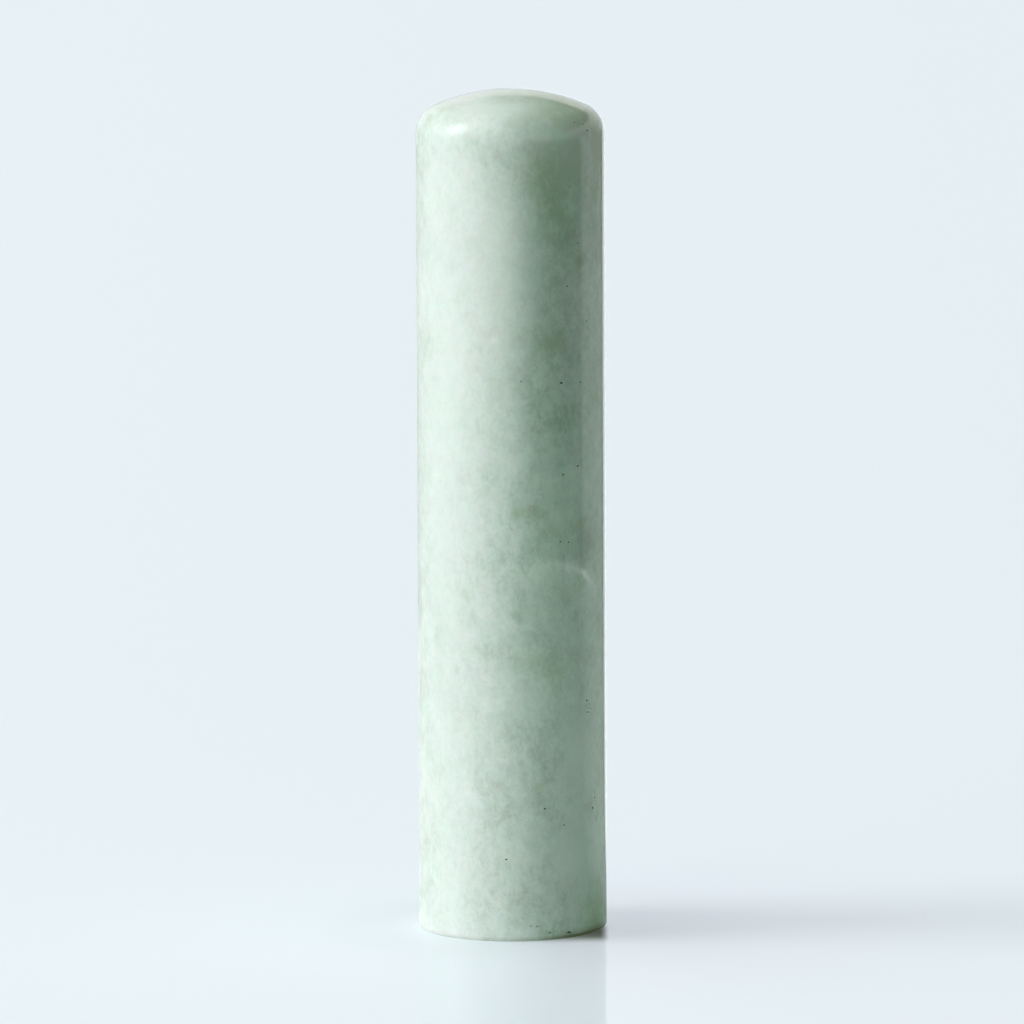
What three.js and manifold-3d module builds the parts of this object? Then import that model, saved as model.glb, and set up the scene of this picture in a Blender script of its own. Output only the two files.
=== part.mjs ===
// Seal stamp: one length of polished jade, with a domed head for the finger and a flat sealing face cut in relief.
// Millimetres, +Z up. The origin is the centre of the sealing face, on which the stamp stands.

import * as THREE from "three";
import { mergeVertices } from "three/addons/utils/BufferGeometryUtils.js";
import Module from "manifold-3d";

// The turned stone
const BODY_DIAMETER = 13.5;
const BODY_HEIGHT = 60.6;
const CROWN_RADIUS = 13.7; // the shallow dome on top
const SHOULDER_RADIUS = 2.2; // rounds the dome into the side
const FOOT_EDGE_RADIUS = 0.4; // rounds the side into the sealing face

// The sealing face: a raised rim round a lattice of interlocking rings
const RIM_WIDTH = 0.6;
const RING_RADIUS = 2.45; // to the middle of a ring's stroke
const STROKE_WIDTH = 0.4;
const CUT_DEPTH = 0.6; // how far the ground lies below the strokes

// How finely the round forms are faceted
const SIDE_FACETS = 72;
const CROWN_STEPS = 7;
const SHOULDER_STEPS = 7;
const FOOT_EDGE_STEPS = 3;
const RING_FACETS = 36;

const BODY_RADIUS = BODY_DIAMETER / 2;
const FACE_RADIUS = BODY_RADIUS - FOOT_EDGE_RADIUS;
const GROUND_RADIUS = FACE_RADIUS - RIM_WIDTH;

const wasm = await Module();
wasm.setup();

// A closed geometry as a solid that can be cut.
function toSolid(geometry) {
  geometry.deleteAttribute("normal");
  geometry.deleteAttribute("uv");
  const merged = mergeVertices(geometry);
  return new wasm.Manifold(
    new wasm.Mesh({
      numProp: 3,
      vertProperties: merged.attributes.position.array,
      triVerts: new Uint32Array(merged.index.array),
    }),
  );
}

// A solid as a flat-shaded geometry.
function toGeometry(solid) {
  const { vertProperties, triVerts } = solid.getMesh();
  const geometry = new THREE.BufferGeometry()
    .setAttribute("position", new THREE.BufferAttribute(vertProperties, 3))
    .setIndex(new THREE.BufferAttribute(triVerts, 1))
    .toNonIndexed();
  geometry.computeVertexNormals();
  return geometry;
}

// Points along an arc of the profile, both ends included.
function arc(centreX, centreY, radius, startAngle, endAngle, steps) {
  return Array.from({ length: steps + 1 }, (_, step) => {
    const angle = startAngle + ((endAngle - startAngle) * step) / steps;
    return new THREE.Vector2(
      centreX + radius * Math.cos(angle),
      centreY + radius * Math.sin(angle),
    );
  });
}

// Half the stone's outline, from the middle of the sealing face to the top of the crown.
function bodyProfile() {
  const shoulderX = BODY_RADIUS - SHOULDER_RADIUS;
  const centreDistance = CROWN_RADIUS - SHOULDER_RADIUS; // between the centres of crown and shoulder
  const meetAngle = Math.acos(shoulderX / centreDistance); // where the two arcs share a tangent
  const crownY = BODY_HEIGHT - CROWN_RADIUS;
  const shoulderY = crownY + centreDistance * Math.sin(meetAngle);
  const crown = arc(0, crownY, CROWN_RADIUS, meetAngle, Math.PI / 2, CROWN_STEPS);
  return [
    new THREE.Vector2(0, 0),
    ...arc(FACE_RADIUS, FOOT_EDGE_RADIUS, FOOT_EDGE_RADIUS, -Math.PI / 2, 0, FOOT_EDGE_STEPS),
    ...arc(shoulderX, shoulderY, SHOULDER_RADIUS, 0, meetAngle, SHOULDER_STEPS),
    ...crown.slice(1, -1),
    new THREE.Vector2(0, BODY_HEIGHT),
  ];
}

// The stone before its sealing face is cut.
function blank() {
  return toSolid(new THREE.LatheGeometry(bodyProfile(), SIDE_FACETS).rotateX(Math.PI / 2));
}

// A round plate from one height to another, with a round hole through it where the inner radius isn't zero.
function plate(outerRadius, innerRadius, bottom, top, facets) {
  const shape = new THREE.Shape().absarc(0, 0, outerRadius, 0, 2 * Math.PI);
  if (innerRadius > 0) {
    shape.holes.push(new THREE.Path().absarc(0, 0, innerRadius, 0, 2 * Math.PI));
  }
  return new THREE.ExtrudeGeometry(shape, {
    depth: top - bottom,
    curveSegments: facets / 2, // a full circle gets two facets for each
    bevelEnabled: false,
  }).translate(0, 0, bottom);
}

// The lattice's rings. Their centres stand on a square grid whose pitch is a ring's radius times the root of two,
// so that four rings meet at every crossing, and one crossing is at the centre of the face.
function latticeRings() {
  const halfPitch = RING_RADIUS / Math.SQRT2;
  const outerRadius = RING_RADIUS + STROKE_WIDTH / 2;
  const innerRadius = RING_RADIUS - STROKE_WIDTH / 2;
  const reach = GROUND_RADIUS + outerRadius;
  const columns = Math.ceil(reach / (2 * halfPitch));
  const rings = [];
  for (let column = -columns; column < columns; column += 1) {
    for (let row = -columns; row < columns; row += 1) {
      const x = (2 * column + 1) * halfPitch;
      const y = (2 * row + 1) * halfPitch;
      if (Math.hypot(x, y) < reach) {
        const ring = plate(outerRadius, innerRadius, -2 * CUT_DEPTH, 2 * CUT_DEPTH, RING_FACETS);
        rings.push(toSolid(ring.translate(x, y, 0)));
      }
    }
  }
  return rings;
}

// What is cut away: the ground inside the rim, less the rings that stay standing in it.
function ground() {
  const inside = toSolid(plate(GROUND_RADIUS, 0, -CUT_DEPTH, CUT_DEPTH, SIDE_FACETS));
  return latticeRings().reduce((left, ring) => left.subtract(ring), inside);
}

const jade = new THREE.MeshStandardMaterial({ color: "#b4cdbb", roughness: 0.12, metalness: 0 });

const stampBody = new THREE.Mesh(toGeometry(blank().subtract(ground())), jade);
stampBody.name = "stamp_body";

const sealStamp = new THREE.Group();
sealStamp.name = "seal_stamp";
sealStamp.add(stampBody);

export default sealStamp;
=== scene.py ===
"""A seal stamp of polished jade: the turned stone with its cut sealing face, on a plain pale stage."""

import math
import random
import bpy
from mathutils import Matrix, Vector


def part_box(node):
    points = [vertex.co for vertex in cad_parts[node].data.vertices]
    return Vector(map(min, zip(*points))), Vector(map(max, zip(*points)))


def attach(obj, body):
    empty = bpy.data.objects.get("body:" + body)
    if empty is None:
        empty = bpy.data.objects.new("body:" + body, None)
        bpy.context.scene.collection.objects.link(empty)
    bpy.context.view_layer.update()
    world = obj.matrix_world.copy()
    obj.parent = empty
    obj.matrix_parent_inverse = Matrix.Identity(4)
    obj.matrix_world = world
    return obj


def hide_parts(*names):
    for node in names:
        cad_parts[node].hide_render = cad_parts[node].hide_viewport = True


bl_info = {
    "name": "Jade Seal Stamp",
    "version": (1, 0, 0),
    "blender": (4, 5, 0),
    "location": "View3D > Sidebar > Seal Stamp",
    "description": "Turns the jade stone, cuts its sealing face and sets the stage for its picture",
    "category": "Add Mesh",
}

from collections import namedtuple

import bmesh
import bpy
from mathutils import Matrix, Vector

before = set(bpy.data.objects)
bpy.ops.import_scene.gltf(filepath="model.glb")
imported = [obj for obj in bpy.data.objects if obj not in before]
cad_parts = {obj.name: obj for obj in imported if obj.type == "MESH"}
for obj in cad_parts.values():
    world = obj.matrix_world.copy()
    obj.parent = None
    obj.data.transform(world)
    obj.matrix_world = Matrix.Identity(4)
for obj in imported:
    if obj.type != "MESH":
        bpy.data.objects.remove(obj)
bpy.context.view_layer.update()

MM = 0.001
FULL_TURN = 2 * math.pi
QUARTER_TURN = math.pi / 2
CAD_NODE = "stamp_body"
NODE_LOW, NODE_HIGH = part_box(CAD_NODE)

# How finely the round forms are cut up: facets round a full turn, and steps along the outline
SIDE_FACETS = 288
SIDE_STEPS = 150
FOOT_EDGE_STEPS = 8
SHOULDER_STEPS = 16
CROWN_STEPS = 24
GROUND_FACETS = 240
RING_FACETS = 120
EASE_STEPS = 4
ROOT_STEPS = 5
SHARP_ANGLE = math.radians(32)  # edges that turn by more than this are shaded sharp

OVERCUT = 0.2 * MM  # how far a cutter reaches past what it cuts


# The sizes and colours that a user would change

class StoneSettings(bpy.types.PropertyGroup):
    """The turned stone."""

    diameter: bpy.props.FloatProperty(
        name="Diameter", description="Across the straight side", default=NODE_HIGH.x - NODE_LOW.x,
        subtype="DISTANCE", unit="LENGTH", precision=5)
    height: bpy.props.FloatProperty(
        name="Height", description="From the sealing face to the top of the dome", default=NODE_HIGH.z,
        subtype="DISTANCE", unit="LENGTH", precision=5)
    crown_radius: bpy.props.FloatProperty(
        name="Crown Radius", description="Radius of the shallow dome", default=13.7 * MM,
        subtype="DISTANCE", unit="LENGTH", precision=5)
    shoulder_radius: bpy.props.FloatProperty(
        name="Shoulder Radius", description="Rounds the dome into the side", default=2.2 * MM,
        subtype="DISTANCE", unit="LENGTH", precision=5)
    foot_edge_radius: bpy.props.FloatProperty(
        name="Foot Edge Radius", description="Rounds the side into the sealing face", default=0.4 * MM,
        subtype="DISTANCE", unit="LENGTH", precision=5)


class SealSettings(bpy.types.PropertyGroup):
    """The relief cut into the sealing face."""

    rim_width: bpy.props.FloatProperty(
        name="Rim Width", description="Width of the raised rim", default=0.6 * MM,
        subtype="DISTANCE", unit="LENGTH", precision=5)
    ring_radius: bpy.props.FloatProperty(
        name="Ring Radius", description="To the middle of a ring's stroke", default=2.45 * MM,
        subtype="DISTANCE", unit="LENGTH", precision=5)
    stroke_width: bpy.props.FloatProperty(
        name="Stroke Width", description="Width of a ring's stroke", default=0.4 * MM,
        subtype="DISTANCE", unit="LENGTH", precision=5)
    cut_depth: bpy.props.FloatProperty(
        name="Cut Depth", description="How far the ground lies below the strokes", default=0.6 * MM,
        subtype="DISTANCE", unit="LENGTH", precision=5)
    edge_ease: bpy.props.FloatProperty(
        name="Edge Ease", description="Radius worn onto the edges of the strokes", default=0.03 * MM,
        subtype="DISTANCE", unit="LENGTH", precision=5)
    wall_lean: bpy.props.FloatProperty(
        name="Wall Lean", description="How much wider a stroke is at its root than at its top, on each side",
        default=0.06 * MM, subtype="DISTANCE", unit="LENGTH", precision=5)
    root_radius: bpy.props.FloatProperty(
        name="Root Radius", description="Rounds a stroke's wall into the ground", default=0.08 * MM,
        subtype="DISTANCE", unit="LENGTH", precision=5)


class JadeSettings(bpy.types.PropertyGroup):
    """The stone's colours, and a painted shade tint for its shaded side."""

    body: bpy.props.FloatVectorProperty(
        name="Body", description="Pale green of most of the stone", default=(0.70, 0.79, 0.747),
        subtype="COLOR", min=0, max=1)
    cloud: bpy.props.FloatVectorProperty(
        name="Cloud", description="Deeper grey green of the wide clouds", default=(0.50, 0.60, 0.52),
        subtype="COLOR", min=0, max=1)
    milk: bpy.props.FloatVectorProperty(
        name="Milk", description="Milky grains and spots", default=(0.845, 0.91, 0.875),
        subtype="COLOR", min=0, max=1)
    deep: bpy.props.FloatVectorProperty(
        name="Deep", description="Deep green of the wide zones", default=(0.38, 0.50, 0.365),
        subtype="COLOR", min=0, max=1)
    olive: bpy.props.FloatVectorProperty(
        name="Olive", description="Olive patches", default=(0.44, 0.56, 0.37),
        subtype="COLOR", min=0, max=1)
    blue: bpy.props.FloatVectorProperty(
        name="Blue", description="Bluish zones", default=(0.60, 0.74, 0.76),
        subtype="COLOR", min=0, max=1)
    # Painted shade: this tint makes the stone's shaded side darker and greener, standing in for the green
    # light that the stone carries into its shade
    green: bpy.props.FloatVectorProperty(
        name="Green", description="Tint of the greener side of the stone", default=(0.76, 1.0, 0.80),
        subtype="COLOR", min=0, max=1)
    # Darkens the foot in a band, most on its shaded side
    foot_band: bpy.props.FloatVectorProperty(
        name="Stain", description="Dark olive stain along the foot", default=(0.11, 0.135, 0.04),
        subtype="COLOR", min=0, max=1)
    pit: bpy.props.FloatVectorProperty(
        name="Pit", description="Dark mineral grains and the insides of pits", default=(0.03, 0.045, 0.03),
        subtype="COLOR", min=0, max=1)


class StageSettings(bpy.types.PropertyGroup):
    """The floor, the light and the camera."""

    backdrop: bpy.props.FloatVectorProperty(
        name="Backdrop", description="Pale floor and background", default=(0.799, 0.871, 0.913),
        subtype="COLOR", min=0, max=1)
    camera_distance: bpy.props.FloatProperty(
        name="Camera Distance", description="From the camera to the middle of the stone", default=0.9,
        subtype="DISTANCE", unit="LENGTH")
    camera_elevation: bpy.props.FloatProperty(
        name="Camera Elevation", description="Angle by which the camera looks down",
        default=math.radians(8.16), subtype="ANGLE", unit="ROTATION")
    camera_roll: bpy.props.FloatProperty(
        name="Camera Roll", description="Turn of the camera about its own view",
        default=math.radians(-0.1965), subtype="ANGLE", unit="ROTATION")
    focal_length: bpy.props.FloatProperty(
        name="Focal Length", description="In millimetres, for a sensor 36 mm wide", default=441.3)
    floor_colour: bpy.props.FloatVectorProperty(
        name="Floor Colour", description="What the floor scatters of the light that falls on it",
        default=(0.571, 0.63, 0.643), subtype="COLOR", min=0, max=1)
    bounce: bpy.props.FloatVectorProperty(
        name="Bounce", description="Light that the floor near the stone throws back onto it",
        default=(0.30, 0.32, 0.32), subtype="COLOR", min=0, max=1)
    floor_glow: bpy.props.FloatVectorProperty(
        name="Floor Glow", description="Lifts the lit floor to the backdrop's colour",
        default=(0.46, 0.51, 0.55), subtype="COLOR", min=0, max=1)
    key_strength: bpy.props.FloatProperty(
        name="Key Strength", description="Light from the left, in watts per square metre", default=1.9)
    soft_strength: bpy.props.FloatProperty(
        name="Soft Strength", description="Wide light on the stone from the front left", default=2.35)
    back_strength: bpy.props.FloatProperty(
        name="Back Strength", description="Wide light on the stone from behind on the right", default=1.9)
    room_strength: bpy.props.FloatProperty(
        name="Room Strength", description="Wide light on the floor from the left", default=1.73)


# Meshes

def arc(centre_x, centre_y, radius, start, end, steps):
    """Points along an arc of an outline, both ends included."""
    angles = [start + (end - start) * step / steps for step in range(steps + 1)]
    return [(centre_x + radius * math.cos(a), centre_y + radius * math.sin(a)) for a in angles]


def shoulder_centre(stone):
    """(radius, height) of the centre of the shoulder's arc, and the angle at which the arc meets the dome."""
    shoulder_x = stone.diameter / 2 - stone.shoulder_radius
    centre_distance = stone.crown_radius - stone.shoulder_radius
    meet = math.acos(shoulder_x / centre_distance)
    return shoulder_x, stone.height - stone.crown_radius + centre_distance * math.sin(meet), meet


def stone_outline(stone):
    """(radius, height) pairs from the edge of the sealing face up to just short of the crown's top."""
    side = stone.diameter / 2
    foot = stone.foot_edge_radius
    shoulder_x, shoulder_y, meet = shoulder_centre(stone)
    crown_y = stone.height - stone.crown_radius
    climb = shoulder_y - foot
    straight = [(side, foot + climb * step / SIDE_STEPS) for step in range(1, SIDE_STEPS)]
    return (
        arc(side - foot, foot, foot, -QUARTER_TURN, 0, FOOT_EDGE_STEPS)
        + straight
        + arc(shoulder_x, shoulder_y, stone.shoulder_radius, 0, meet, SHOULDER_STEPS)
        + arc(0, crown_y, stone.crown_radius, meet, QUARTER_TURN, CROWN_STEPS)[1:-1]
    )


def turned_rings(bm, outline, facets):
    """Rings of points round the upright axis, one for each (radius, height) pair of the outline."""
    turns = [FULL_TURN * step / facets for step in range(facets)]
    return [
        [bm.verts.new((radius * math.cos(turn), radius * math.sin(turn), height)) for turn in turns]
        for radius, height in outline
    ]


def join_rings(bm, rings):
    """Faces between each ring and the next one up."""
    for low, high in zip(rings, rings[1:]):
        for i in range(len(low)):
            j = (i + 1) % len(low)
            bm.faces.new((low[i], low[j], high[j], high[i]))


def turned_stone(stone):
    """The stone before it is cut: its outline turned about the upright axis."""
    bm = bmesh.new()
    rings = turned_rings(bm, stone_outline(stone), SIDE_FACETS)
    bm.faces.new(list(reversed(rings[0])))
    join_rings(bm, rings)
    top = bm.verts.new((0, 0, stone.height))
    last = rings[-1]
    for i in range(SIDE_FACETS):
        bm.faces.new((last[i], last[(i + 1) % SIDE_FACETS], top))
    return bm


def cut_wall(seal):
    """(offset, height) pairs along the wall of a cut, from below the sealing face to past the ground.
    The offset is measured into the cut from the place where the stroke's edge would be if it were sharp."""
    ease, root = seal.edge_ease, seal.root_radius
    edge = arc(-ease, ease, ease, -QUARTER_TURN, 0, EASE_STEPS)
    wall_foot = seal.wall_lean + root
    foot = arc(wall_foot, seal.cut_depth - root, root, 2 * QUARTER_TURN, QUARTER_TURN, ROOT_STEPS)
    return [(-ease, -OVERCUT)] + edge + foot + [(wall_foot, seal.cut_depth + OVERCUT)]


def closed_ring(bm, section, x, y):
    """A closed section of (radius, height) pairs, turned about an upright axis through x, y."""
    loops = []
    for step in range(RING_FACETS):
        turn = FULL_TURN * step / RING_FACETS
        loops.append([bm.verts.new((x + r * math.cos(turn), y + r * math.sin(turn), z)) for r, z in section])
    for here, there in zip(loops, loops[1:] + loops[:1]):
        for i in range(len(section)):
            j = (i + 1) % len(section)
            bm.faces.new((here[i], there[i], there[j], here[j]))


def lattice_ring_centres(seal, ground_radius):
    """Centres of the rings that reach into the ground. They stand on a square grid on which four rings meet
    at each crossing."""
    half_pitch = seal.ring_radius / math.sqrt(2)
    reach = ground_radius + seal.ring_radius + seal.stroke_width / 2
    columns = math.ceil(reach / (2 * half_pitch))
    steps = [(2 * step + 1) * half_pitch for step in range(-columns, columns)]
    return [(x, y) for x in steps for y in steps if math.hypot(x, y) < reach]


def mesh_object(name, bm):
    """A scene object made of a bmesh, which it uses up, with its faces turned outwards."""
    bmesh.ops.recalc_face_normals(bm, faces=bm.faces)
    mesh = bpy.data.meshes.new(name)
    bm.to_mesh(mesh)
    bm.free()
    obj = bpy.data.objects.new(name, mesh)
    bpy.context.scene.collection.objects.link(obj)
    return obj


def carve(obj, cutters):
    """Cuts the cutters out of the object, and removes them."""
    group = bpy.data.collections.new("cutters")
    for cutter in cutters:
        group.objects.link(cutter)
    cut = obj.modifiers.new("cut", "BOOLEAN")
    cut.operation = "DIFFERENCE"
    cut.solver = "MANIFOLD"
    cut.operand_type = "COLLECTION"
    cut.collection = group
    bpy.context.view_layer.update()
    ready = obj.evaluated_get(bpy.context.evaluated_depsgraph_get())
    carved = bpy.data.meshes.new_from_object(ready)
    obj.modifiers.clear()
    carved.materials.clear()
    obj.data = carved
    for cutter in cutters:
        bpy.data.objects.remove(cutter)
    bpy.data.collections.remove(group)


def ground_cutter(stone, seal):
    """What the engraver takes away inside the rim, with the rings left standing."""
    ground_radius = stone.diameter / 2 - stone.foot_edge_radius - seal.rim_width
    wall = cut_wall(seal)
    bm = bmesh.new()
    outline = [(ground_radius - offset, height) for offset, height in wall[:-1]]
    rings = turned_rings(bm, outline, GROUND_FACETS)
    bm.faces.new(rings[0])
    bm.faces.new(list(reversed(rings[-1])))
    join_rings(bm, rings)
    cutter = mesh_object("ground_cutter", bm)
    half = seal.stroke_width / 2
    outer = [(seal.ring_radius + half + offset, height) for offset, height in wall]
    inner = [(seal.ring_radius - half - offset, height) for offset, height in reversed(wall)]
    strokes = []
    for x, y in lattice_ring_centres(seal, ground_radius):
        ring = bmesh.new()
        closed_ring(ring, outer + inner, x, y)
        strokes.append(mesh_object("stroke", ring))
    carve(cutter, strokes)
    return cutter


def skin_radius(stone, height):
    """How far the stone's side or shoulder is from its axis at that height."""
    shoulder_x, shoulder_y, _ = shoulder_centre(stone)
    rise = min(max(0.0, height - shoulder_y), stone.shoulder_radius)
    return shoulder_x + math.sqrt(stone.shoulder_radius ** 2 - rise ** 2)


def around(stone, azimuth, height, depth):
    """A point at that depth under the stone's side or shoulder. Azimuth is in degrees, round to the right
    from the camera's side."""
    turn = math.radians(azimuth)
    radius = skin_radius(stone, height) - depth
    return Vector((radius * math.sin(turn), -radius * math.cos(turn), height))


PIT_SEED = 5
PIT_SHAPE = (1.25, 0.9, 0.8)  # how many radii it reaches across, into and along the stone
PIT_SINK = 0.15  # how many radii its middle lies under the skin
PIT_ROUGHNESS = 0.13  # how many radii its points stray at most, along each axis

# Pits in the polish: azimuth in degrees, height and radius in millimetres
PITS = [
    (32.0, 40.2, 0.09),
    (47.0, 40.1, 0.06),
    (6.0, 40.45, 0.05),
    (52.8, 44.4, 0.06),
    (36.5, 47.1, 0.06),
    (44.8, 50.1, 0.06),
    (38.5, 54.2, 0.05),
    (55.0, 58.05, 0.08),
    (53.0, 58.5, 0.05),
    (45.5, 58.7, 0.05),
    (44.5, 34.1, 0.08),
    (33.0, 33.6, 0.07),
    (31.0, 28.8, 0.06),
    (37.0, 28.7, 0.06),
    (52.3, 17.08, 0.08),
    (54.8, 16.78, 0.05),
    (51.4, 16.72, 0.045),
    (52.8, 16.52, 0.05),
    (56.4, 16.43, 0.055),
    (52.6, 16.22, 0.07),
    (54.8, 16.18, 0.04),
    (20.0, 9.6, 0.08),
    (58.0, 9.2, 0.08),
    (60.5, 9.9, 0.07),
    (33.0, 8.3, 0.06),
    (-4.0, 6.0, 0.07),
    (23.0, 0.6, 0.07),
    (14.8, 1.1, 0.05),
    (11.0, 1.15, 0.045),
    (36.2, 0.42, 0.17),
]


def pit_cutters(stone):
    """One object of small rough lumps that bite into the surface."""
    chance = random.Random(PIT_SEED)
    bm = bmesh.new()
    for azimuth, height, radius in PITS:
        size = radius * MM
        place = Matrix.Translation(around(stone, azimuth, height * MM, PIT_SINK * size))
        turn = Matrix.Rotation(math.radians(azimuth), 4, "Z")
        shape = Matrix.Diagonal((*PIT_SHAPE, 1))
        lump = bmesh.ops.create_icosphere(bm, subdivisions=2, radius=size, matrix=place @ turn @ shape)
        for vert in lump["verts"]:
            stray = Vector([chance.uniform(-1, 1) for _ in range(3)])
            vert.co += stray * PIT_ROUGHNESS * size
    return mesh_object("pit_cutter", bm)


# Materials

class Nodes:
    """A node tree that is built one node at a time."""

    def __init__(self, tree):
        tree.nodes.clear()
        self.tree = tree

    def add(self, kind, inputs=None, **settings):
        """A node of that kind. An input is a socket to link or a value to set."""
        node = self.tree.nodes.new(kind)
        for name, value in settings.items():
            setattr(node, name, value)
        for name, value in (inputs or {}).items():
            self.put(node.inputs[name], value)
        return node

    def put(self, socket, value):
        """Links the value to the socket, or sets it there."""
        if isinstance(value, bpy.types.NodeSocket):
            self.tree.links.new(value, socket)
        elif socket.type == "RGBA" and len(value) == 3:
            socket.default_value = (*value, 1)
        else:
            socket.default_value = value

    def maths(self, operation, first, second):
        return self.add("ShaderNodeMath", {0: first, 1: second}, operation=operation).outputs[0]

    def product(self, first, *others):
        """All the values multiplied together."""
        for other in others:
            first = self.maths("MULTIPLY", first, other)
        return first

    def rest(self, value):
        """What is left of one when the value is taken away."""
        return self.maths("SUBTRACT", 1.0, value)

    def change(self, value, where, share):
        """The value, with that share of it added where the mask is one."""
        return self.product(value, self.maths("ADD", 1.0, self.product(where, share)))

    def vectors(self, operation, first, second):
        return self.add("ShaderNodeVectorMath", {0: first, 1: second}, operation=operation).outputs[0]

    def length(self, vector):
        return self.add("ShaderNodeVectorMath", {0: vector}, operation="LENGTH").outputs["Value"]

    def noise(self, vector, scale, detail, roughness, output="Fac"):
        inputs = {"Vector": vector, "Scale": scale, "Detail": detail, "Roughness": roughness}
        return self.add("ShaderNodeTexNoise", inputs).outputs[output]

    def spread(self, value, low, high, to_low=0.0, to_high=1.0, easing="SMOOTHSTEP"):
        """The value, eased from to_low at low to to_high at high."""
        inputs = {"Value": value, "From Min": low, "From Max": high, "To Min": to_low, "To Max": to_high}
        return self.add("ShaderNodeMapRange", inputs, interpolation_type=easing).outputs["Result"]

    def mix(self, factor, first, second, blend="MIX"):
        """Two colours mixed, the second where the factor is one."""
        node = self.add("ShaderNodeMix", data_type="RGBA", blend_type=blend, clamp_factor=True)
        self.put(node.inputs["Factor"], factor)
        self.put(node.inputs[6], first)
        self.put(node.inputs[7], second)
        return node.outputs[2]

    def ramp(self, value, stops, top=1.0):
        """Brightness by azimuth, from (azimuth, brightness) stops. The value is a share of a full turn that
        starts behind the stone, and top is at least the highest brightness."""
        node = self.add("ShaderNodeValToRGB", {"Fac": value})
        elements = node.color_ramp.elements
        elements.remove(elements[1])
        for step, (azimuth, brightness) in enumerate(stops):
            stop = elements[0] if step == 0 else elements.new(azimuth / 360 + 0.5)
            stop.position = azimuth / 360 + 0.5
            stop.color = (brightness / top,) * 3 + (1,)
        return self.product(node.outputs["Color"], top)

    def attribute(self, name):
        return self.add("ShaderNodeAttribute", attribute_name=name).outputs["Fac"]

    def emission(self, colour, strength=1.0):
        return self.add("ShaderNodeEmission", {"Color": colour, "Strength": strength}).outputs[0]

    def both(self, first, second):
        """Two shaders added together."""
        return self.add("ShaderNodeAddShader", {0: first, 1: second}).outputs[0]

    def either(self, factor, first, second):
        """Two shaders mixed, the second where the factor is one."""
        return self.add("ShaderNodeMixShader", {0: factor, 1: first, 2: second}).outputs[0]

    def finish(self, shader, kind="ShaderNodeOutputMaterial"):
        """Ends the tree with that shader."""
        self.tree.links.new(shader, self.add(kind).inputs["Surface"])


# Noise in the stone: markings to the millimetre, layers of finer detail, and how strong each layer is
DRIFT = (0.7, 2.0, 0.5)
MOTTLE = (0.32, 5.0, 0.86)
SPECKLE = (1.6, 2.0, 0.9)
SCATTER = (0.42, 3.0, 0.55)
GRAIN = (3.6, 3.0, 0.9)
RIPPLE = (0.6, 1.0, 0.5)
TOOL_MARKS = (9.0, 3.0, 0.7)
NOISE_MIDDLE = 0.5

STIR = 0.8  # how far the drift drags the other markings, in millimetres
DRAWN_OUT = (1.0, 1.0, 0.78)  # markings are longer along the stone than across it
SPECKLE_SHARE = 0.5  # of the mottling
CONTRAST = 4.0
DEEP_CONTRAST = 2.4  # more where the stone is deep green
CALM_CONTRAST = 2.8  # less in the calm zones
# A patch is weaker in the mottling's light places than in its dark ones, which makes its edges ragged
RAGGED_MOTTLE, RAGGED_STRENGTH = (0.60, 0.40), (0.6, 1.3)
# Small olive patches all over, where their own noise is high
SCATTER_SHIFT = (31.0, 7.0, 19.0)
SCATTER_HIGHS, SCATTER_STRENGTH = (0.62, 0.80), (0.0, 0.3)

# Light goes far into jade, green the farthest, so the shade is greener than the lit side
JADE_INSIDE = {
    "IOR": 1.66,
    "Subsurface Weight": 0.8,
    "Subsurface Radius": (1.6, 2.6, 2.0),
    "Subsurface Scale": MM,
}
# The polish is a little duller in the mottling's light places
POLISHED_MOTTLE, POLISHED_ROUGHNESS = (0.3, 0.7), (0.02, 0.04)
GRAIN_RELIEF = 0.06  # height of the grain in the polish, as a share of the ripple's
STONE_DUST = (0.9, 0.95, 0.92)  # pales the surfaces that aren't polished
GROUND_DUST = 0.12
CUT_DUST = 0.2


def new_material(name):
    """A material, and its node tree to be built."""
    material = bpy.data.materials.new(name)
    material.use_nodes = True
    return material, Nodes(material.node_tree)


def place_in_mm(nodes):
    """The place on the stone, in millimetres."""
    place = nodes.add("ShaderNodeTexCoord").outputs["Object"]
    return nodes.vectors("MULTIPLY", place, (1 / MM, 1 / MM, 1 / MM))


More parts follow.
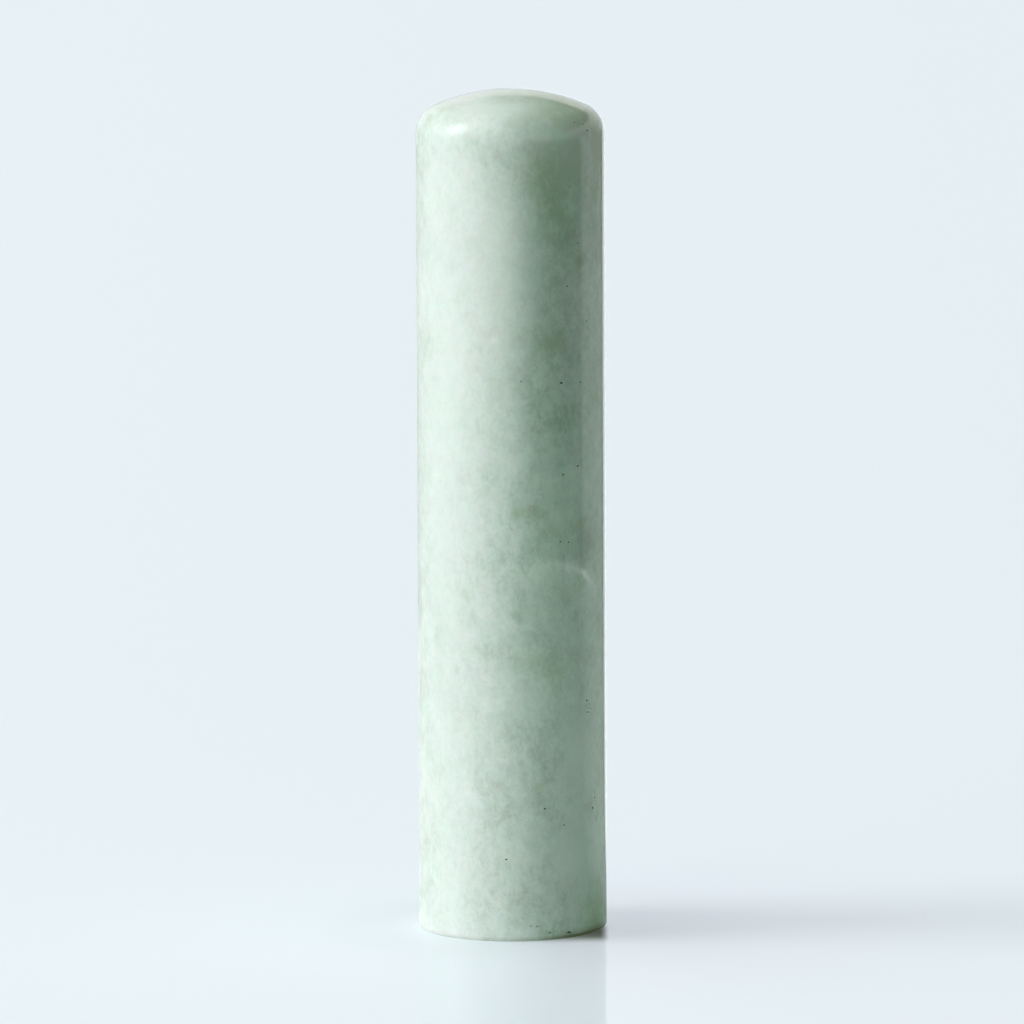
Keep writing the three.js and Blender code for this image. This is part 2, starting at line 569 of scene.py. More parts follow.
def jade_colour(nodes, jade, in_mm):
    """The stone's colour, built up from mottling, patches and tints, and the mottling by itself. One tint is
    painted shade on the shaded side.
    """
    drift = nodes.vectors("SUBTRACT", nodes.noise(in_mm, *DRIFT, output="Color"), (NOISE_MIDDLE,) * 3)
    stirred = nodes.vectors("ADD", in_mm, nodes.vectors("MULTIPLY", drift, (STIR,) * 3))
    stirred = nodes.vectors("MULTIPLY", stirred, DRAWN_OUT)
    deep, calm = nodes.attribute("deep"), nodes.attribute("calm")

    mottle = nodes.noise(stirred, *MOTTLE)
    speckle = nodes.noise(stirred, *SPECKLE)
    lively = nodes.maths("ADD", CONTRAST, nodes.product(deep, DEEP_CONTRAST))
    lively = nodes.maths("SUBTRACT", lively, nodes.product(calm, CALM_CONTRAST))
    specks = nodes.product(nodes.maths("SUBTRACT", speckle, NOISE_MIDDLE), SPECKLE_SHARE)
    tone = nodes.maths("ADD", nodes.maths("SUBTRACT", mottle, NOISE_MIDDLE), specks)
    tone = nodes.product(tone, lively)
    colour = nodes.mix(tone, jade.body, jade.milk)
    colour = nodes.mix(nodes.product(tone, -1.0), colour, jade.cloud)

    ragged = nodes.spread(mottle, *RAGGED_MOTTLE, *RAGGED_STRENGTH)
    colour = nodes.mix(nodes.product(deep, ragged), colour, jade.deep)
    colour = nodes.mix(nodes.product(nodes.attribute("blue"), ragged), colour, jade.blue)
    scattered = nodes.noise(nodes.vectors("ADD", stirred, SCATTER_SHIFT), *SCATTER)
    scattered = nodes.spread(scattered, *SCATTER_HIGHS, *SCATTER_STRENGTH)
    olive = nodes.maths("ADD", nodes.product(nodes.attribute("olive"), ragged), scattered)
    colour = nodes.mix(olive, colour, jade.olive)
    colour = nodes.mix(nodes.attribute("milk"), colour, jade.milk)
    # Painted shade: the shaded side made darker and greener
    colour = nodes.mix(nodes.attribute("green"), colour, jade.green, "MULTIPLY")
    # The foot darkened in a band, most on its shaded side
    colour = nodes.mix(nodes.attribute("foot_band"), colour, jade.foot_band)
    return colour, mottle


def finish_material(nodes, shader_inputs):
    """Ends the material with a shader that has these inputs."""
    nodes.finish(nodes.add("ShaderNodeBsdfPrincipled", shader_inputs).outputs[0])


def polished_jade(jade):
    """The turned and polished stone."""
    material, nodes = new_material("polished_jade")
    in_mm = place_in_mm(nodes)
    colour, mottle = jade_colour(nodes, jade, in_mm)
    grain = nodes.product(nodes.noise(in_mm, *GRAIN), GRAIN_RELIEF)
    height = nodes.maths("ADD", nodes.noise(in_mm, *RIPPLE), grain)
    bump = nodes.add("ShaderNodeBump", {"Height": height, "Strength": 0.25, "Distance": 0.004 * MM})
    finish_material(nodes, {
        "Base Color": colour,
        "Roughness": nodes.spread(mottle, *POLISHED_MOTTLE, *POLISHED_ROUGHNESS),
        "Normal": bump.outputs[0],
        **JADE_INSIDE,
    })
    return material


def ground_jade(jade):
    """The flat tops of the rim and strokes, rubbed flat on fine paper."""
    material, nodes = new_material("ground_jade")
    colour, _ = jade_colour(nodes, jade, place_in_mm(nodes))
    colour = nodes.mix(GROUND_DUST, colour, STONE_DUST)
    finish_material(nodes, {"Base Color": colour, "Roughness": 0.42, **JADE_INSIDE})
    return material


def cut_jade(jade):
    """The walls and ground of the relief, frosted by the cutter."""
    material, nodes = new_material("cut_jade")
    in_mm = place_in_mm(nodes)
    colour, _ = jade_colour(nodes, jade, in_mm)
    colour = nodes.mix(CUT_DUST, colour, STONE_DUST)
    marks = nodes.noise(in_mm, *TOOL_MARKS)
    bump = nodes.add("ShaderNodeBump", {"Height": marks, "Strength": 0.6, "Distance": 0.03 * MM})
    finish_material(nodes, {"Base Color": colour, "Roughness": 0.7, "Normal": bump.outputs[0], **JADE_INSIDE})
    return material


def pitted_jade(jade):
    """The dark broken insides of the pits."""
    material, nodes = new_material("pitted_jade")
    finish_material(nodes, {"Base Color": jade.pit, "Roughness": 0.8, "IOR": 1.5})
    return material


# Markings of the stone, and some painted shade, each where it lies: azimuth in degrees, then level, half
# width and half height in millimetres, then strength. The level is the height, counted on over the shoulder
# and crown.
DEEP_CLOUDS = [
    (14, 57, 2.3, 3.2, 0.26),
    (19, 53.8, 1.0, 1.5, 0.16),
    (31, 50.6, 1.8, 1.9, 0.44),
    (22, 54.2, 1.0, 1.7, 0.26),
    (39, 48.6, 1.8, 1.3, 0.18),
    (34, 60.2, 2.2, 1.0, 0.24),
    (38, 62.2, 2.8, 1.8, 0.78),
    (20, 54.0, 0.9, 1.6, 0.14),
    (21, 51.8, 0.8, 1.2, 0.12),
    (34, 47.6, 1.6, 0.8, 0.20),
    (16, 44.4, 0.5, 0.8, 0.22),
    (21, 39.2, 0.9, 0.8, 0.17),
    (15, 27.0, 1.2, 0.7, 0.16),
    (32, 0.9, 2.4, 0.6, 0.34),
    (-54, 7.5, 2.4, 5.0, 0.08),
    (-44, 22.5, 2.2, 1.4, 0.07),
    (20, 46, 0.9, 1.3, 0.40),
    (33, 44, 2.2, 2.4, 0.28),
    (12, 39, 1.2, 1.2, 0.28),
    (27, 38, 1.8, 1.2, 0.36),
    (40, 40, 1.4, 2.0, 0.20),
    (20, 31, 1.2, 1.0, 0.18),
    (3, 31, 0.6, 0.8, 0.20),
    (58, 28, 2.0, 1.4, 0.45),
    (10, 24, 1.6, 1.3, 0.22),
    (36, 25, 1.0, 0.8, 0.22),
    (30, 20, 2.0, 1.2, 0.34),
    (-25, 21, 1.0, 0.8, 0.14),
    (22, 11, 0.9, 2.4, 0.26),
    (18, 3, 2.4, 1.6, 0.22),
    # Darkens the foot's corner on the shaded side
    (68, 2.0, 1.2, 2.4, 0.35),
    # Painted shade: this band and the next darken the stone's brightly lit left edge
    (-74, 8, 2.4, 20, 0.18),
    (-76, 44, 2.2, 24, 0.09),
    (-76, 57, 1.9, 5.0, 0.25),
    (-60, 60.0, 1.8, 1.2, 0.25),
    (21, 53, 1.2, 2.2, 0.20),
    (15, 42, 0.8, 3.0, 0.20),
    (-55, 22.5, 1.6, 2.0, 0.07),
    (18, 42, 1.2, 3.4, 0.16),
    (18, 34, 1.1, 2.4, 0.10),
    (24, 53, 1.1, 2.0, 0.26),
    (35, 48, 1.2, 0.9, 0.16),
    (30, 46, 2.0, 1.4, 0.12),
    (36, 37.4, 1.2, 1.0, 0.16),
    (24, 21, 1.2, 3.4, 0.10),
    (50, 30, 1.4, 1.4, 0.10),
    (26, 3, 1.8, 1.0, 0.16),
    (47.5, 17.5, 0.4, 0.7, 0.3),
    (-18, 6, 0.8, 1.0, 0.12),
    (-62, 42, 0.8, 2.5, 0.10),
    # out of the photo's sight
    (150, 45, 4.0, 7.0, 0.50),
    (205, 20, 4.5, 6.0, 0.45),
    (110, 14, 3.5, 5.0, 0.30),
    (250, 36, 3.5, 6.0, 0.35),
]
OLIVE_PATCHES = [
    (24, 55.5, 2.4, 4.2, 0.30),
    (56, 57.5, 2.6, 3.4, 0.42),
    (30, 56.5, 3.0, 2.4, 0.16),
    (14, 50.0, 5.0, 9.0, 0.10),
    (42, 61.5, 3.4, 2.4, 0.45),
    (64, 54, 2.0, 6.0, 0.40),
    (48, 49.0, 0.45, 0.7, 0.80),
    (-16, 56.6, 0.9, 0.6, 0.18),
    (25, 43.0, 0.7, 0.5, 0.60),
    (5, 43.8, 0.7, 0.6, 0.25),
    (2, 40.0, 0.8, 0.8, 0.18),
    (-15, 36.6, 0.8, 0.5, 0.20),
    (28, 35.5, 0.5, 1.0, 0.20),
    (2, 31.0, 0.7, 0.4, 0.35),
    (14, 31.0, 0.9, 0.4, 0.30),
    (28, 29.8, 0.9, 0.5, 0.30),
    (46, 30.0, 1.2, 0.6, 0.30),
    (3, 26.5, 0.6, 0.4, 0.30),
    (33, 25.4, 1.2, 0.5, 0.30),
    (-10, 21.0, 1.6, 0.9, 0.16),
    (12, 20.2, 2.2, 0.7, 0.20),
    (28, 19.4, 0.9, 0.7, 0.30),
    (17, 11.0, 0.4, 0.5, 0.30),
    (55, 9.3, 0.5, 0.5, 0.45),
    (60, 39.0, 1.2, 2.0, 0.45),
    (-30, 15.0, 1.6, 1.4, 0.10),
    # Darkens the foot's corner on the shaded side
    (66, 1.0, 2.2, 1.6, 0.70),
    (68, 57.0, 1.4, 4.0, 0.25),
    (80, 22.0, 0.8, 1.4, 0.4),
    # out of the photo's sight
    (130, 33.0, 0.9, 1.2, 0.6),
    (170, 50.0, 1.0, 1.4, 0.6),
    (190, 12.0, 1.1, 1.0, 0.5),
    (235, 41.0, 0.9, 1.3, 0.5),
    (270, 18.0, 1.0, 1.2, 0.45),
]
BLUE_PATCHES = [
    (12, 48.5, 1.6, 3.6, 0.30),
    (9, 32.2, 1.0, 0.4, 0.45),
    (30, 34.5, 1.4, 1.3, 0.25),
    (30, 22.5, 1.6, 1.4, 0.30),
    (18, 25.0, 0.6, 0.6, 0.25),
    (38, 17.0, 1.2, 3.0, 0.20),
    (28, 7.0, 1.8, 1.2, 0.35),
    (54, 6.5, 1.2, 1.6, 0.45),
    (-38, 48.0, 1.6, 1.6, 0.12),
    # out of the photo's sight
    (100, 28.0, 2.0, 3.5, 0.35),
    (180, 34.0, 2.2, 4.0, 0.35),
    (225, 10.0, 2.2, 3.0, 0.35),
]
MILK_SPOTS = [
    (2, 35.0, 1.2, 1.4, 0.30),
    (45, 33.5, 1.6, 1.4, 0.25),
    (8, 32.2, 0.7, 0.35, 0.25),
    (-10, 43.4, 0.25, 0.3, 0.8),
    (46, 14.0, 2.0, 4.0, 0.40),
    (55, 25.0, 1.6, 1.0, 0.25),
    (-8, 61.0, 2.4, 1.6, 0.35),
    (12, 61.6, 2.4, 1.8, 0.35),
    (0, 18.6, 2.0, 2.0, 0.42),
    (-6, 50, 3.0, 3.5, 0.22),
    (31, 58.5, 1.7, 1.4, 0.34),
    (42, 56.4, 1.9, 2.6, 0.38),
    (45, 52.4, 1.0, 1.5, 0.18),
    (46, 5.0, 1.5, 3.2, 0.34),
    (45, 13.0, 2.0, 3.8, 0.20),
    (46, 32.0, 2.2, 2.4, 0.20),
    (68, 33.0, 1.2, 5.0, 0.25),
    (31, 29.8, 1.0, 1.5, 0.26),
    (8, 23.5, 0.6, 0.8, 0.28),
    (-8, 52.6, 1.7, 1.8, 0.24),
    (-8, 45.0, 2.0, 5.0, 0.14),
    (47, 13.6, 1.0, 1.4, 0.22),
    (49, 8.0, 0.7, 0.8, 0.25),
    (9, 42.7, 0.6, 0.7, 0.38),
    (18, 57.5, 1.6, 1.6, 0.15),
    (-7, 42, 1.0, 3.2, 0.18),
    (3, 4, 1.2, 5.0, 0.20),
    (38, 5.0, 1.8, 2.6, 0.20),
    (31, 30.5, 0.6, 0.8, 0.5),
    (40, 13.5, 1.2, 1.8, 0.2),
    (38, 6, 1.8, 1.4, 0.35),
    (-20, 47, 5.0, 13, 0.28),
    # out of the photo's sight
    (95, 40.0, 1.6, 2.0, 0.4),
    (160, 28.0, 1.8, 1.6, 0.4),
    (220, 52.0, 1.5, 1.8, 0.4),
]
CALM_ZONES = [
    (-50, 28, 4.0, 60, 1.0),
]
# Painted shade: darker, greener tints over the stone's shaded right side, standing in for the green light
# that the stone carries into its shade. The zone out of sight is only a greener part of the stone.
PAINTED_SHADE_ZONES = [
    (36, 27, 4.6, 35, 0.95),
    (40, 53.5, 3.6, 4.5, 0.45),
    (64, 4, 2.2, 5.0, 0.45),
    (72, 20, 2.5, 38, 0.5),
    # out of the photo's sight
    (215, 25, 5.0, 25, 0.6),
]
# Dark bands along the foot, strongest on the shaded side
DARK_FOOT_BANDS = [
    (22, 0.2, 5.0, 0.14, 0.30),
    (50, 0.0, 3.2, 0.45, 1.0),
    (66, 0.2, 1.4, 0.6, 0.5),
    # out of the photo's sight
    (190, 0.0, 4.0, 0.25, 0.5),
]


FAINTEST = 7  # a marking ends where the square of the distance, in its half sizes, reaches this
LEVEL_PER_INSET = 0.74  # how fast the level counts on, over the shoulder and crown, for each distance in
PITS_BELOW_TOP = 1.7 * MM  # no pit lies higher than this far under the crown's top
PIT_DEPTH = 0.012 * MM  # a face this far under the skin belongs to a pit
SLACK = 0.005 * MM  # for faces that lie in a plane but for rounding


def marking_strength(markings, turn, level, radius):
    """How strongly a list of markings shows at one point of the stone."""
    strength = 0.0
    for centre, middle, half_width, half_height, most in markings:
        along = (level - middle * MM) / (half_height * MM)
        across = ((turn - math.radians(centre) + math.pi) % FULL_TURN - math.pi) * radius / (half_width * MM)
        distance = across * across + along * along
        if distance < FAINTEST:
            strength += most * math.exp(-distance)
    return min(1.0, strength)


def paint_markings(mesh, stone):
    """Stores each kind of marking, painted shade among them, on the mesh's points."""
    side = stone.diameter / 2
    points = []
    for vert in mesh.vertices:
        x, y, z = vert.co
        radius = math.hypot(x, y)
        points.append((math.atan2(x, -y), z + LEVEL_PER_INSET * (side - radius), radius))
    kinds = {
        "deep": DEEP_CLOUDS,
        "olive": OLIVE_PATCHES,
        "blue": BLUE_PATCHES,
        "milk": MILK_SPOTS,
        "calm": CALM_ZONES,
        "green": PAINTED_SHADE_ZONES,
        "foot_band": DARK_FOOT_BANDS,
    }
    for name, markings in kinds.items():
        layer = mesh.attributes.new(name, "FLOAT", "POINT")
        layer.data.foreach_set("value", [marking_strength(markings, *point) for point in points])


def set_finishes(mesh, stone, seal):
    """Gives each face its finish by where it lies: polished, ground flat, cut or broken."""
    face_radius = stone.diameter / 2 - stone.foot_edge_radius
    ground_radius = face_radius - seal.rim_width
    for face in mesh.polygons:
        x, y, z = face.center
        radius = math.hypot(x, y)
        pits_here = stone.foot_edge_radius < z < stone.height - PITS_BELOW_TOP
        if z < SLACK and radius < face_radius:
            face.material_index = 1
        elif z < seal.cut_depth + SLACK and radius < ground_radius + seal.edge_ease:
            face.material_index = 2
        elif pits_here and skin_radius(stone, z) - radius > PIT_DEPTH:
            face.material_index = 3


class SEALSTAMP_OT_add_stone(bpy.types.Operator):
    """Turn the stone, cut its sealing face and polish it"""

    bl_idname = "sealstamp.add_stone"
    bl_label = "Add Stone"

    def execute(self, context):
        settings = context.scene
        stone, seal, jade = settings.seal_stone, settings.seal_relief, settings.seal_jade
        piece = mesh_object("jade_stamp", turned_stone(stone))
        carve(piece, [ground_cutter(stone, seal), pit_cutters(stone)])
        mesh = piece.data
        for material in (polished_jade(jade), ground_jade(jade), cut_jade(jade), pitted_jade(jade)):
            mesh.materials.append(material)
        mesh.polygons.foreach_set("use_smooth", [True] * len(mesh.polygons))
        mesh.set_sharp_from_angle(angle=SHARP_ANGLE)
        paint_markings(mesh, stone)
        set_finishes(mesh, stone, seal)
        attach(piece, "root")
        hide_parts(CAD_NODE)
        return {"FINISHED"}


# The stage

FLOOR_SIZE = (8, 8)
CAMERA_AIM = (0.03 * MM, 0, 30.12 * MM)


def stage_plane(name, size, place, turn, material):
    """A flat sheet that isn't part of the stamp."""
    bm = bmesh.new()
    half_width, half_height = size[0] / 2, size[1] / 2
    corners = ((-1, -1), (1, -1), (1, 1), (-1, 1))
    bm.faces.new([bm.verts.new((x * half_width, y * half_height, 0)) for x, y in corners])
    sheet = mesh_object(name, bm)
    sheet.matrix_world = Matrix.Translation(place) @ turn
    sheet.data.materials.append(material)
    return sheet


# In each pair of places below, a look is eased in from the first place to the second. A place is a distance
# from the stone's axis where nothing else is named.
LIT_SIDE = (6 * MM, -4 * MM)  # along X
TABLE_CENTRE = (20.5 * MM, -16 * MM, 0)  # of the round table that the polish mirrors

FloorSpot = namedtuple("FloorSpot", "x y away from_table lit_side shaded_side")


def floor_spot(nodes):
    """Where a point of the floor lies: its place, its distance from the axis and the table, and its side."""
    place = nodes.add("ShaderNodeNewGeometry").outputs["Position"]
    xyz = nodes.add("ShaderNodeSeparateXYZ", {0: place}).outputs
    offset = nodes.vectors("MULTIPLY", nodes.vectors("SUBTRACT", place, TABLE_CENTRE), (1, 1, 0))
    away, from_table = nodes.length(place), nodes.length(offset)
    lit_side = nodes.spread(xyz[0], *LIT_SIDE)
    return FloorSpot(xyz[0], xyz[1], away, from_table, lit_side, nodes.rest(lit_side))


# The floor as the camera sees it, with painted light that makes it brighter on the left than on the right
FLOOR_WIDTH, FLOOR_BRIGHTNESS = (-50 * MM, 50 * MM), (1.04, 0.96)
# Painted shade: dimmer beside the foot on the lit side, and a little in a ring round it
LIT_FOOT, LIT_FOOT_CHANGE = (16 * MM, 6.5 * MM), -0.2
RING_INSIDE, RING_OUTSIDE, RING_CHANGE = (7.2 * MM, 9.5 * MM), (22 * MM, 12 * MM), -0.05
# Painted light: brighter just where the foot touches it on the lit side
LIT_TOUCH, LIT_TOUCH_CHANGE = (7.5 * MM, 6.7 * MM), 0.10
# Bluer in the stone's shade
SHADE_REACH, SHADE_GLOW = (40 * MM, 10 * MM), (0.455, 0.482, 0.540)
GLOSS_IOR, GLOSS_ROUGHNESS = 1.16, 0.02
FLOOR_END = (0.9, 2.6)  # where it fades into the backdrop

# Painted contact shadow: the dark wedge under the right of the foot, which also stands for the stone's
# blurred reflection
WEDGE_FRONT, WEDGE_BACK = (-7.3 * MM, -4.2 * MM), (1.5 * MM, -1.0 * MM)  # along Y
WEDGE_RIGHT = (7.0 * MM, 6.2 * MM)  # along X
WEDGE_REACH = (10.4 * MM, 8.8 * MM)
WEDGE_STRENGTH, WEDGE_COLOUR = 0.93, (0.195, 0.25, 0.18)
WEDGE_DEPTH, WEDGE_BRIGHTNESS = (-7.6 * MM, -2.5 * MM), (1.0, 0.25)  # darker along Y, in under the foot


def painted_contact_shadow(nodes, spot):
    """How strongly the dark wedge of painted contact shadow covers the floor."""
    front = nodes.spread(spot.y, *WEDGE_FRONT)
    reach = nodes.spread(spot.away, *WEDGE_REACH)
    right = nodes.spread(spot.x, *WEDGE_RIGHT)
    back = nodes.spread(spot.y, *WEDGE_BACK)
    return nodes.product(front, reach, right, spot.shaded_side, back, WEDGE_STRENGTH)


def seen_floor(nodes, stage, spot, lit):
    """The floor for the camera: the light that falls on it, lifted to the backdrop's colour, and a gloss.
    The painted contact shadow lies over both."""
    beside = nodes.product(nodes.spread(spot.away, *LIT_FOOT), spot.lit_side)
    ring = nodes.product(nodes.spread(spot.away, *RING_INSIDE), nodes.spread(spot.away, *RING_OUTSIDE))
    touch = nodes.product(nodes.spread(spot.away, *LIT_TOUCH), spot.lit_side)
    brightness = nodes.spread(spot.x, *FLOOR_WIDTH, *FLOOR_BRIGHTNESS, easing="LINEAR")
    brightness = nodes.change(brightness, beside, LIT_FOOT_CHANGE)
    brightness = nodes.change(brightness, ring, RING_CHANGE)
    brightness = nodes.change(brightness, touch, LIT_TOUCH_CHANGE)
    shade = nodes.product(nodes.spread(spot.away, *SHADE_REACH), spot.shaded_side)
    glow = nodes.emission(nodes.mix(shade, stage.floor_glow, SHADE_GLOW), brightness)
    seen = nodes.both(lit, glow)

    fresnel = nodes.add("ShaderNodeFresnel", {"IOR": GLOSS_IOR}).outputs[0]
    gloss = nodes.add("ShaderNodeBsdfGlossy", {"Color": (1, 1, 1), "Roughness": GLOSS_ROUGHNESS}).outputs[0]
    seen = nodes.either(fresnel, seen, gloss)
    seen = nodes.either(nodes.spread(spot.away, *FLOOR_END), seen, nodes.emission(stage.backdrop))
    # Painted contact shadow under the right of the foot
    dark = nodes.emission(WEDGE_COLOUR, nodes.spread(spot.y, *WEDGE_DEPTH, *WEDGE_BRIGHTNESS))
    return nodes.either(painted_contact_shadow(nodes, spot), seen, dark)


# The floor as the polish mirrors it: a round table with a bright rim, by distances from the table's centre
TABLE_EDGE, TABLE_BRIGHTNESS = (166.2 * MM, 165.2 * MM), 0.55
RIM_INSIDE, RIM_OUTSIDE = (161.5 * MM, 164 * MM), (166.7 * MM, 165.7 * MM)
MIRRORED_COLOUR = (0.955, 1.0, 0.98)
# The stone's shadow on it, deeper along Y towards the back
SHADOW_REACH = (50 * MM, 10 * MM)
SHADOW_DEPTH_ALONG, SHADOW_DEPTH = (-10 * MM, 10 * MM), (0.40, 0.85)
# Darker under the foot on the shaded side
UNDER_FOOT, UNDER_FOOT_BRIGHTNESS = (6.6 * MM, 8.5 * MM), (0.35, 1.0)

# The room beyond the table: azimuth in degrees, then brightness
ROOM_BY_AZIMUTH = [
    (-180, 0.35),
    (-100, 0.35),
    (-70, 0.60),
    (0, 0.55),
    (12, 0.20),
    (20, 0.03),
    (70, 0.03),
    (77, 0.22),
    (93, 0.24),
    (97, 0.50),
    (180, 0.50),
]
# What the table's rim adds, which shows as a pale arch: azimuth, then brightness
RIM_BY_AZIMUTH = [
    (-10, 0.0),
    (30, 1.2),
    (100, 1.2),
    (125, 0.0),
]
# What all of it is multiplied by, for a dark gap and a bright line at the stone's edge: azimuth, then factor
EDGE_BY_AZIMUTH = [
    (-152, 1.0),
    (95, 1.0),
    (98, 1.5),
    (112, 1.4),
    (122, 1.1),
    (132, 0.8),
    (143, 0.5),
    (145, 0.0),
    (149, 0.0),
    (152, 1.4),
    (160, 1.9),
    (180, 1.9),
]
EDGE_TOP = 2.0  # no factor is higher


def mirrored_floor(nodes, spot, lit):
    """The floor for the polish: a pale round table with a dark room in front of it."""
    table = nodes.product(nodes.spread(spot.from_table, *TABLE_EDGE), TABLE_BRIGHTNESS)
    inside, outside = nodes.spread(spot.from_table, *RIM_INSIDE), nodes.spread(spot.from_table, *RIM_OUTSIDE)
    rim = nodes.product(inside, outside)
    turn = nodes.maths("ARCTAN2", spot.x, nodes.product(spot.y, -1.0))
    turn = nodes.maths("ADD", nodes.maths("DIVIDE", turn, FULL_TURN), 0.5)
    brightness = nodes.maths("MAXIMUM", table, nodes.ramp(turn, ROOM_BY_AZIMUTH))
    brightness = nodes.maths("ADD", brightness, nodes.product(rim, nodes.ramp(turn, RIM_BY_AZIMUTH)))
    edge = nodes.ramp(turn, EDGE_BY_AZIMUTH, EDGE_TOP)

    shadow = nodes.product(nodes.spread(spot.away, *SHADOW_REACH), spot.shaded_side)
    depth = nodes.spread(spot.y, *SHADOW_DEPTH_ALONG, *SHADOW_DEPTH)
    left = nodes.rest(nodes.product(shadow, depth))
    under = nodes.spread(spot.away, *UNDER_FOOT, *UNDER_FOOT_BRIGHTNESS)
    under = nodes.maths("MAXIMUM", under, spot.lit_side)
    return nodes.both(lit, nodes.emission(MIRRORED_COLOUR, nodes.product(brightness, edge, left, under)))


# What the floor throws back up at the stone: from all of the table, and more close by on the lit side
BOUNCE_EDGE = (170 * MM, 162 * MM)  # from the table's centre
NEAR_BOUNCE, NEAR_BOUNCE_STRENGTH = (8.5 * MM, 6.5 * MM), 0.9


def bounced_floor(nodes, stage, spot):
    """The floor for light that comes from it to the stone."""
    near = nodes.product(nodes.spread(spot.away, *NEAR_BOUNCE), spot.lit_side)
    table = nodes.spread(spot.from_table, *BOUNCE_EDGE)
    return nodes.emission(stage.bounce, nodes.maths("ADD", table, nodes.product(near, NEAR_BOUNCE_STRENGTH)))


def floor_material(stage):
    """A pale floor, which differs for the camera, for the polish and for the light that it throws back."""
    material, nodes = new_material("floor")
    ray = nodes.add("ShaderNodeLightPath").outputs
    lit = nodes.add("ShaderNodeBsdfDiffuse", {"Color": stage.floor_colour}).outputs[0]
    spot = floor_spot(nodes)
    bounced, seen = bounced_floor(nodes, stage, spot), seen_floor(nodes, stage, spot, lit)
    floor = nodes.either(ray["Is Camera Ray"], bounced, seen)
    nodes.finish(nodes.either(ray["Is Glossy Ray"], floor, mirrored_floor(nodes, spot, lit)))
    return material


# The tall light that the polish mirrors
SOFTBOX_SIZE = (0.60, 1.20)
SOFTBOX_DIRECTION = (-79, 31)  # azimuth and elevation, in degrees
SOFTBOX_DISTANCE = 0.52
SOFTBOX_AIM = 58 * MM  # the height on the stone that it faces
SOFTBOX_SHAPE = (1.0, 0.5, 1.0)  # its glow is twice as tall as it is wide
SPOT_REACH, SPOT_BRIGHTNESS = (0.145, 0.0), (0.0, 3.4)
HALO_REACH, HALO_BRIGHTNESS = (0.28, 0.05), (0.0, 0.22)


def softbox_material():
    """A tall light, bright in the middle and clear at its edges."""
    material, nodes = new_material("softbox")
    place = nodes.add("ShaderNodeTexCoord").outputs["Object"]
    reach = nodes.length(nodes.vectors("MULTIPLY", place, SOFTBOX_SHAPE))
    spot = nodes.spread(reach, *SPOT_REACH, *SPOT_BRIGHTNESS)
    halo = nodes.spread(reach, *HALO_REACH, *HALO_BRIGHTNESS)
    glow = nodes.emission((1, 1, 1), nodes.maths("ADD", spot, halo))
    nodes.finish(nodes.both(nodes.add("ShaderNodeBsdfTransparent").outputs[0], glow))
    return material


def only_mirrored(obj):
    """Hides a card from everything but the polish."""
    obj.visible_camera = False
    obj.visible_diffuse = False
    obj.visible_shadow = False
    obj.visible_transmission = False


# The room that the crown and shoulder mirror. Places here are parts of the direction's unit vector.
WALL_END = (0.43, 0.40)  # upwards
WALL_END_ALONG, WALL_END_DROP = (-0.1, -0.7), (0.0, 0.16)  # the walls end lower along X, on the lit side
BACK_WALL_ALONG, BACK_WALL_ABOVE = (-0.1, 0.1), (0.17, 0.20)  # along Y, and upwards
WALL_COLOUR, BACK_WALL_COLOUR = (0.80, 0.86, 0.90), (1.00, 0.965, 0.97)
CEILING_ALONG = (0.15, -0.3)  # along X, from dark to lit
DARK_CEILING, LIT_CEILING = (0.34, 0.37, 0.38), (1.0, 1.04, 1.0)
SKY_COLOUR = (0.02, 0.02, 0.02)


def set_world(stage):
    """Pale behind for the camera, a faint sky for the stone, and a room for the polish."""
    world = bpy.data.worlds.new("studio")
    bpy.context.scene.world = world
    world.use_nodes = True
    nodes = Nodes(world.node_tree)
    ray = nodes.add("ShaderNodeLightPath").outputs
    towards = nodes.add("ShaderNodeTexCoord").outputs["Generated"]
    xyz = nodes.add("ShaderNodeSeparateXYZ", {0: towards}).outputs
    lift = nodes.maths("ADD", xyz[2], nodes.spread(xyz[0], *WALL_END_ALONG, *WALL_END_DROP))
    behind = nodes.product(nodes.spread(xyz[1], *BACK_WALL_ALONG), nodes.spread(xyz[2], *BACK_WALL_ABOVE))
    walls = nodes.mix(behind, WALL_COLOUR, BACK_WALL_COLOUR)
    ceiling = nodes.mix(nodes.spread(xyz[0], *CEILING_ALONG), DARK_CEILING, LIT_CEILING)
    room = nodes.mix(nodes.spread(lift, *WALL_END), ceiling, walls)
    colour = nodes.mix(ray["Is Glossy Ray"], SKY_COLOUR, room)
    colour = nodes.mix(ray["Is Camera Ray"], colour, stage.backdrop)
    background = nodes.add("ShaderNodeBackground", {"Color": colour, "Strength": 1.0})
    nodes.finish(background.outputs[0], "ShaderNodeOutputWorld")


def direction(azimuth, elevation):
    """Azimuth is round to the right from the camera's side. Both are in degrees."""
    turn, lift = math.radians(azimuth), math.radians(elevation)
    return Vector((math.sin(turn) * math.cos(lift), -math.cos(turn) * math.cos(lift), math.sin(lift)))


def add_sun(name, strength, azimuth, elevation, spread, lights=None):
    """A distant lamp, which lights either everything or only one object. Angles are in degrees."""
    lamp = bpy.data.lights.new(name, "SUN")
    lamp.energy = strength
    lamp.angle = math.radians(spread)
    obj = bpy.data.objects.new(name, lamp)
    bpy.context.scene.collection.objects.link(obj)
    towards = direction(azimuth, elevation)
    obj.rotation_mode = "QUATERNION"
    obj.rotation_quaternion = towards.to_track_quat("Z", "Y")
    obj.location = towards
    obj.visible_glossy = False
    if lights:
        receivers = bpy.data.collections.new(name + "_receivers")
        receivers.objects.link(lights)
        obj.light_linking.receiver_collection = receivers


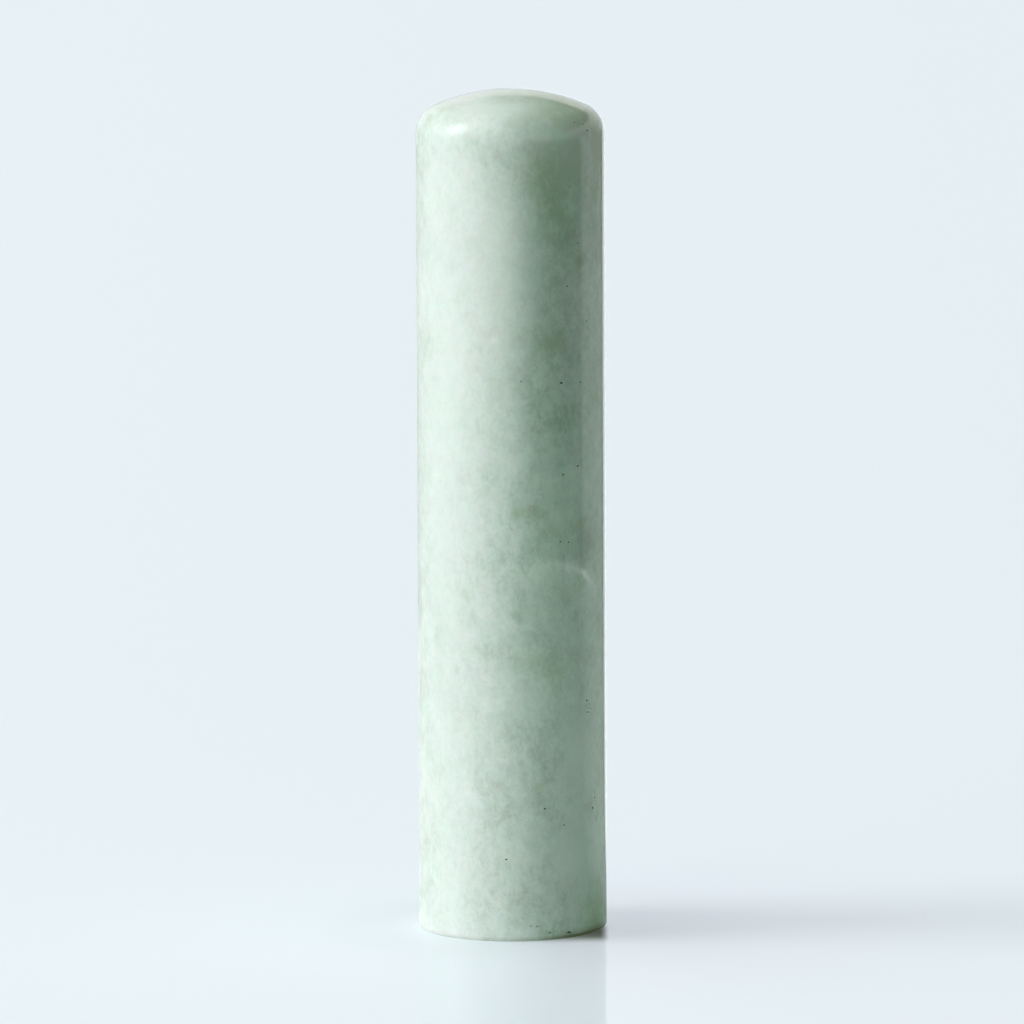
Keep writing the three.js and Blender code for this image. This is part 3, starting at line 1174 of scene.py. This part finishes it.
def add_camera(stage):
    """The camera, aimed at a point just over the middle of the stone."""
    lift = stage.camera_elevation
    back = Vector((0, -math.cos(lift), math.sin(lift)))
    camera = bpy.data.cameras.new("camera")
    camera.lens = stage.focal_length
    camera.sensor_width = 36
    camera.clip_start, camera.clip_end = 0.05, 20
    obj = bpy.data.objects.new("camera", camera)
    bpy.context.scene.collection.objects.link(obj)
    look = back.to_track_quat("Z", "Y").to_matrix().to_4x4()
    roll = Matrix.Rotation(stage.camera_roll, 4, "Z")
    obj.matrix_world = Matrix.Translation(Vector(CAMERA_AIM) + back * stage.camera_distance) @ look @ roll
    bpy.context.scene.camera = obj


class SEALSTAMP_OT_set_stage(bpy.types.Operator):
    """Lay the floor, set the light and aim the camera"""

    bl_idname = "sealstamp.set_stage"
    bl_label = "Set Stage"

    def execute(self, context):
        stage = context.scene.seal_stage
        stone = bpy.data.objects["jade_stamp"]
        floor = stage_plane("floor", FLOOR_SIZE, (0, 0, 0), Matrix.Identity(4), floor_material(stage))
        towards = direction(*SOFTBOX_DIRECTION)
        facing = towards.to_track_quat("Z", "Y").to_matrix().to_4x4()
        place = Vector((0, 0, SOFTBOX_AIM)) + SOFTBOX_DISTANCE * towards
        only_mirrored(stage_plane("softbox", SOFTBOX_SIZE, place, facing, softbox_material()))
        set_world(stage)
        add_sun("key", stage.key_strength, azimuth=-85, elevation=25, spread=33)
        add_sun("soft", stage.soft_strength, azimuth=-50, elevation=20, spread=64, lights=stone)
        add_sun("back", stage.back_strength, azimuth=150, elevation=20, spread=90, lights=stone)
        add_sun("room", stage.room_strength, azimuth=-85, elevation=30, spread=110, lights=floor)
        add_camera(stage)
        context.scene.view_settings.view_transform = "Standard"
        return {"FINISHED"}


class SEALSTAMP_PT_panel(bpy.types.Panel):
    """Sizes, colours and steps of the seal stamp"""

    bl_idname = "SEALSTAMP_PT_panel"
    bl_label = "Seal Stamp"
    bl_space_type = "VIEW_3D"
    bl_region_type = "UI"
    bl_category = "Seal Stamp"

    def draw(self, context):
        scene = context.scene
        steps = (
            (scene.seal_stone, None),
            (scene.seal_relief, None),
            (scene.seal_jade, SEALSTAMP_OT_add_stone),
            (scene.seal_stage, SEALSTAMP_OT_set_stage),
        )
        for settings, operator in steps:
            box = self.layout.box()
            for name in settings.__annotations__:
                box.prop(settings, name)
            if operator:
                box.operator(operator.bl_idname)


CLASSES = (
    StoneSettings,
    SealSettings,
    JadeSettings,
    StageSettings,
    SEALSTAMP_OT_add_stone,
    SEALSTAMP_OT_set_stage,
    SEALSTAMP_PT_panel,
)


def register():
    for cls in CLASSES:
        bpy.utils.register_class(cls)
    bpy.types.Scene.seal_stone = bpy.props.PointerProperty(type=StoneSettings)
    bpy.types.Scene.seal_relief = bpy.props.PointerProperty(type=SealSettings)
    bpy.types.Scene.seal_jade = bpy.props.PointerProperty(type=JadeSettings)
    bpy.types.Scene.seal_stage = bpy.props.PointerProperty(type=StageSettings)


def unregister():
    for name in ("seal_stone", "seal_relief", "seal_jade", "seal_stage"):
        delattr(bpy.types.Scene, name)
    for cls in reversed(CLASSES):
        bpy.utils.unregister_class(cls)


def main():
    register()
    bpy.ops.sealstamp.add_stone()
    bpy.ops.sealstamp.set_stage()


if __name__ == "__main__":
    main()
